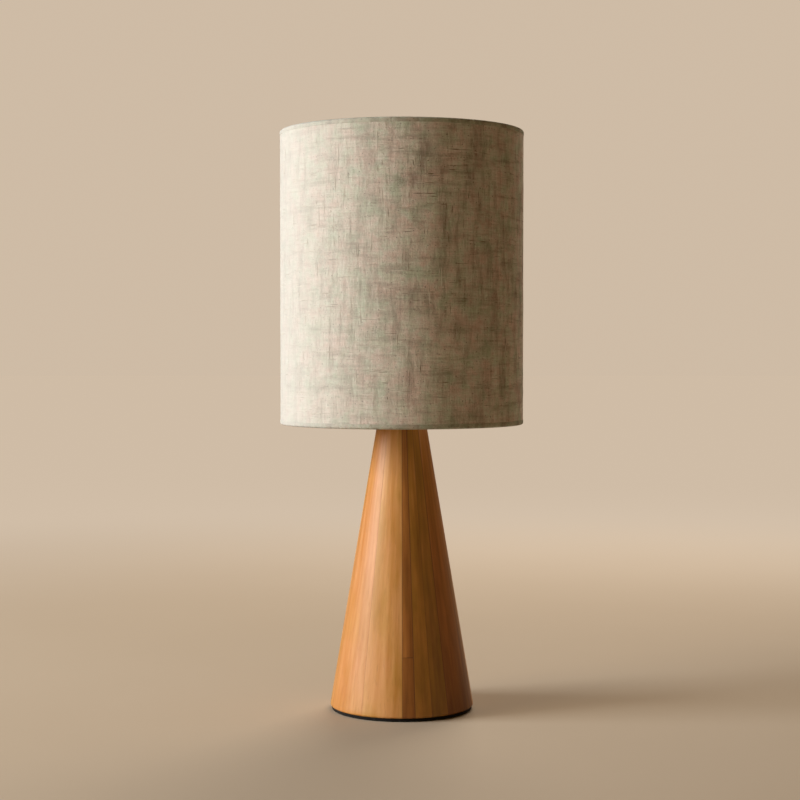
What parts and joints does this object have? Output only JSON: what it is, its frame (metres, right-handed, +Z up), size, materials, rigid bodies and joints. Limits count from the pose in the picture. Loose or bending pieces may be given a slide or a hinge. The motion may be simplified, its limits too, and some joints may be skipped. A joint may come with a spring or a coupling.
{
  "type": "table lamp",
  "caption": "Table lamp: a turned conical base of glued wooden staves carries a switched screw lampholder, a bulb and a tall linen drum shade.",
  "frame": {"origin": "centre of the bounding box, on the underside of the foot pad", "axes": "+Z up along the lamp's own axis; -Y is the front, opposite the lead's inlet; +X is the front's right"},
  "size_m": [0.25, 0.25, 0.595],
  "materials": {
    "oiled_wood": "satin",
    "plywood": "raw",
    "cast_iron": "rough",
    "zinc_steel": "satin",
    "brass": "satin",
    "black_felt": "matt felt",
    "black_moulding": "satin",
    "ceramic": "glazed",
    "white_enamel": "powder coat",
    "linen": "slubby plain weave",
    "liner_film": "smooth film",
    "opal_plastic": "frosted",
    "white_plastic": "gloss",
    "nickel": "bright",
    "circuit_board": "solder mask"
  },
  "bodies": {
    "base": {"stave_01": "oiled_wood", "stave_02": "oiled_wood", "stave_03": "oiled_wood", "stave_04": "oiled_wood", "stave_05": "oiled_wood", "stave_06": "oiled_wood", "stave_07": "oiled_wood", "stave_08": "oiled_wood", "stave_09": "oiled_wood", "stave_10": "oiled_wood", "stave_11": "oiled_wood", "foot_pad": "black_felt", "base_board": "plywood", "ballast_disc": "cast_iron", "ballast_screw_1": "zinc_steel", "ballast_screw_2": "zinc_steel", "ballast_screw_3": "zinc_steel", "inlet_bush": "black_moulding", "top_plug": "plywood", "threaded_nipple": "zinc_steel", "nipple_washer": "zinc_steel", "nipple_nut": "zinc_steel", "top_collar": "brass", "holder_cap": "black_moulding", "holder_grub_screw": "brass", "holder_core": "ceramic", "terminal_screw_live": "brass", "terminal_screw_neutral": "brass", "switch_blade": "brass", "centre_contact": "brass", "screw_shell": "brass", "holder_skirt": "black_moulding", "seat_ring": "black_moulding"},
    "switch": {"switch_bar": "black_moulding"},
    "shade": {"shade_linen": "linen", "shade_liner": "liner_film", "shade_top_wire": "white_enamel", "shade_bottom_wire": "white_enamel", "fitter_ring": "white_enamel", "spider_arm_1": "white_enamel", "spider_arm_2": "white_enamel", "spider_arm_3": "white_enamel"},
    "clamp_lift": {"clamp_washer": "zinc_steel"},
    "clamp_turn": {"clamp_ring": "black_moulding"},
    "bulb_lift": {"bulb_contact": "zinc_steel", "bulb_insulator": "black_moulding"},
    "bulb_turn": {"bulb_cap": "nickel", "bulb_housing": "white_plastic", "bulb_diffuser": "opal_plastic", "bulb_led_board": "white_enamel", "bulb_driver_board": "circuit_board"}
  },
  "joints": [
    {"name": "shade_spin", "type": "hinge", "parent": "base", "child": "shade", "pos_m": [0, 0, 0.338], "axis": [0, 0, 1], "continuous": true},
    {"name": "clamp_rise", "type": "slide", "parent": "base", "child": "clamp_lift", "axis": [0, 0, 1], "range_m": [0, 0.0101]},
    {"name": "clamp_screw", "type": "hinge", "parent": "clamp_lift", "child": "clamp_turn", "pos_m": [0, 0, 0.344], "axis": [0, 0, 1], "range_deg": [0, 1440]},
    {"name": "bulb_rise", "type": "slide", "parent": "base", "child": "bulb_lift", "axis": [0, 0, 1], "range_m": [0, 0.0219]},
    {"name": "bulb_screw", "type": "hinge", "parent": "bulb_lift", "child": "bulb_turn", "pos_m": [0, 0, 0.354], "axis": [0, 0, 1], "range_deg": [0, 2160]},
    {"name": "switch_push", "type": "slide", "parent": "base", "child": "switch", "axis": [-1, 0, 0], "range_m": [0, 0.005]}
  ],
  "couplings": [
    {"joint": "clamp_rise", "follows": "clamp_screw", "m_per_rad": 0.00039789},
    {"joint": "bulb_rise", "follows": "bulb_screw", "m_per_rad": 0.00057773}
  ]
}
